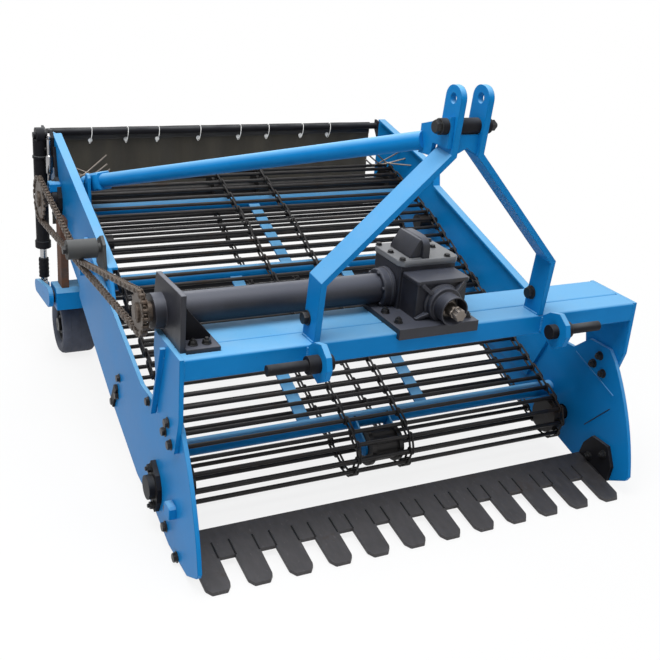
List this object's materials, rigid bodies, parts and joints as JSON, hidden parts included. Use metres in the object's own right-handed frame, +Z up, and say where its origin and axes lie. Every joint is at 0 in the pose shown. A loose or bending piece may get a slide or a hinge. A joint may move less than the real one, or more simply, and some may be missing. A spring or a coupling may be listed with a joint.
{
  "type": "mounted rod-web potato digger",
  "caption": "Tractor-mounted potato harvester with a fingered digging blade, sloping rod web, chain drive, A-shaped mast and rear wheels raised by a cylinder.",
  "frame": {"origin": "centre of the machine's outline on the ground, under the blade tips and wheels", "axes": "+Y to the rear along the rod web, away from the tractor; +X to the machine side without the chain; +Z up"},
  "size_m": [1.56, 1.7998, 1.2562],
  "materials": {
    "blue_paint": "bright blue gloss paint",
    "black_paint": "black paint",
    "gearbox_black": "black painted casting",
    "gearbox_grey": "grey casting",
    "bare_steel": "bare steel",
    "chain_steel": "brown-grey oiled steel",
    "roller_grey": "dark grey",
    "rod_steel": "dark rolled steel",
    "blade_steel": "dark grey rolled steel",
    "curtain_cloth": "dark coated cloth",
    "rusty_steel": "rust-brown steel",
    "rod_chrome": "bright rod",
    "tyre_rubber": "dark rubber",
    "rim_paint": "dark paint"
  },
  "bodies": {
    "frame": {"cross_beam": "blue_paint", "end_posts": "blue_paint", "front_plates": "blue_paint", "rear_plates": "blue_paint", "mast_legs": "blue_paint", "mast_spacer": "black_paint", "mast_strut": "blue_paint", "hitch_lugs": "blue_paint", "hitch_pins": "black_paint", "gearbox_housing": "gearbox_black", "gearbox_cover": "gearbox_grey", "input_shaft": "bare_steel", "shaft_tube": "gearbox_black", "bearing_bracket": "gearbox_black", "front_sprocket": "chain_steel", "rear_sprocket": "chain_steel", "drive_chain": "chain_steel", "idler_roller": "roller_grey", "rod_web": "rod_steel", "web_links": "rod_steel", "front_roller": "rod_steel", "web_shaft": "rod_steel", "carrier_rollers": "rod_steel", "cross_tubes": "blue_paint", "centre_straps": "blue_paint", "flange_bearings": "black_paint", "share_blade": "blade_steel", "share_tabs": "black_paint", "curtain_frame": "black_paint", "curtain_sheet": "curtain_cloth", "guide_tines": "bare_steel", "wheel_posts": "rusty_steel", "pivot_boxes": "blue_paint", "lift_bracket": "black_paint"},
    "wheel_lift": {"rock_shaft": "black_paint", "wheel_arms": "blue_paint"},
    "lift_barrel": {"cylinder_barrel": "black_paint"},
    "lift_rod": {"cylinder_rod": "rod_chrome"},
    "wheel_left": {"tyre_left": "tyre_rubber", "rim_left": "rim_paint"},
    "wheel_right": {"tyre_right": "tyre_rubber", "rim_right": "rim_paint"}
  },
  "joints": [
    {"name": "wheel_lift_swing", "type": "hinge", "parent": "frame", "child": "wheel_lift", "pos_m": [0.028, 0.56289, 0.268], "axis": [-1, 0, 0], "range_deg": [-10, 25]},
    {"name": "barrel_swing", "type": "hinge", "parent": "frame", "child": "lift_barrel", "pos_m": [-0.709, 0.76289, 0.805], "axis": [-1, 0, 0], "range_deg": [-3, 4]},
    {"name": "rod_slide", "type": "slide", "parent": "lift_barrel", "child": "lift_rod", "axis": [0, 0, -1], "range_m": [-0.045, 0.1]},
    {"name": "wheel_left_spin", "type": "hinge", "parent": "wheel_lift", "child": "wheel_left", "pos_m": [-0.623, 0.67289, 0.11], "axis": [1, 0, 0], "continuous": true},
    {"name": "wheel_right_spin", "type": "hinge", "parent": "wheel_lift", "child": "wheel_right", "pos_m": [0.679, 0.67289, 0.11], "axis": [1, 0, 0], "continuous": true}
  ],
  "couplings": [
    {"joint": "barrel_swing", "follows": "wheel_lift_swing", "ratio": 0.0875},
    {"joint": "rod_slide", "follows": "wheel_lift_swing", "m_per_rad": 0.195}
  ]
}
